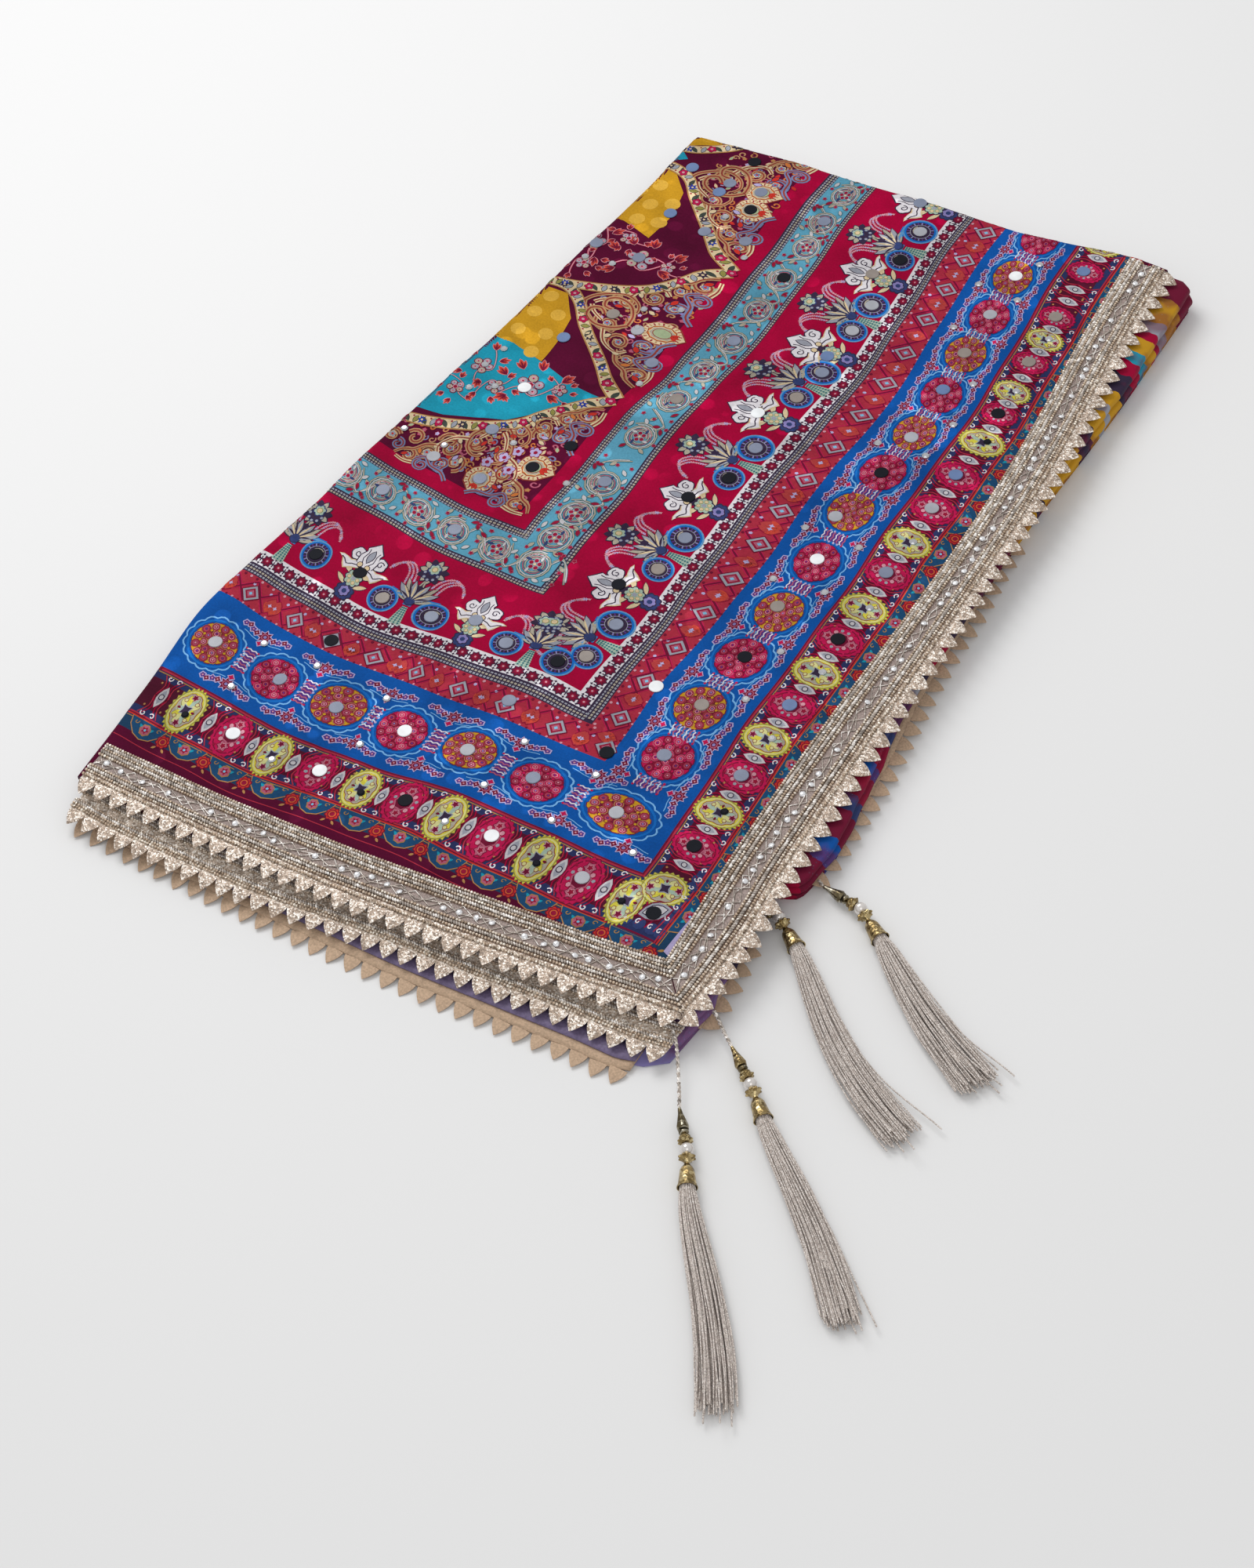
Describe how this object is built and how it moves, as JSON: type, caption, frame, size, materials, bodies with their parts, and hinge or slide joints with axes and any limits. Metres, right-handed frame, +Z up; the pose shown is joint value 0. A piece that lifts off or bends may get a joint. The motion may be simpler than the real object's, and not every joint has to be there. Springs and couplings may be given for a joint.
{
  "type": "folded dupatta stole",
  "caption": "Printed satin dupatta folded into a flat pack, edged with gilt lace with pointed teeth and beaded thread tassels at the corners",
  "frame": {"origin": "middle of the flat underside that the folded pack rests on", "axes": "+Z up, +X toward the long laced hem, +Y away from the short laced hem"},
  "size_m": [0.5313, 0.7674, 0.0245],
  "materials": {
    "satin": "printed satin with woven dots",
    "plies": "printed satin fold edges",
    "gilt_lace": "metallic thread lace",
    "lace_reverse": "matt reverse of the lace",
    "cloth_reverse": "reverse of the satin",
    "thread": "metallic thread",
    "antique_gold": "antique plated beads",
    "pearl": "pearl coated beads"
  },
  "bodies": {
    "root": {"cord_1": "thread", "cord_2": "thread", "cord_4": "thread", "corner_teeth": "lace_reverse", "hidden_layers": "plies", "lace_long": "gilt_lace", "lace_short": "gilt_lace", "lower_cloth": "cloth_reverse", "lower_teeth": "lace_reverse", "second_lace": "gilt_lace", "second_teeth": "gilt_lace", "tassel_1_bell": "antique_gold", "tassel_1_cone": "antique_gold", "tassel_1_lower_cap": "antique_gold", "tassel_1_pearl": "pearl", "tassel_1_skirt": "thread", "tassel_1_spacer": "pearl", "tassel_1_upper_cap": "antique_gold", "tassel_2_bell": "antique_gold", "tassel_2_cone": "antique_gold", "tassel_2_lower_cap": "antique_gold", "tassel_2_pearl": "pearl", "tassel_2_skirt": "thread", "tassel_2_spacer": "pearl", "tassel_2_upper_cap": "antique_gold", "tassel_3_bell": "antique_gold", "tassel_3_cone": "antique_gold", "tassel_3_lower_cap": "antique_gold", "tassel_3_pearl": "pearl", "tassel_3_skirt": "thread", "tassel_3_spacer": "pearl", "tassel_3_upper_cap": "antique_gold", "tassel_4_bell": "antique_gold", "tassel_4_cone": "antique_gold", "tassel_4_lower_cap": "antique_gold", "tassel_4_pearl": "pearl", "tassel_4_skirt": "thread", "tassel_4_spacer": "pearl", "tassel_4_upper_cap": "antique_gold", "teeth_long": "gilt_lace", "teeth_short": "gilt_lace", "third_lace": "lace_reverse", "third_teeth": "lace_reverse", "top_panel": "satin"}
  },
  "joints": []
}
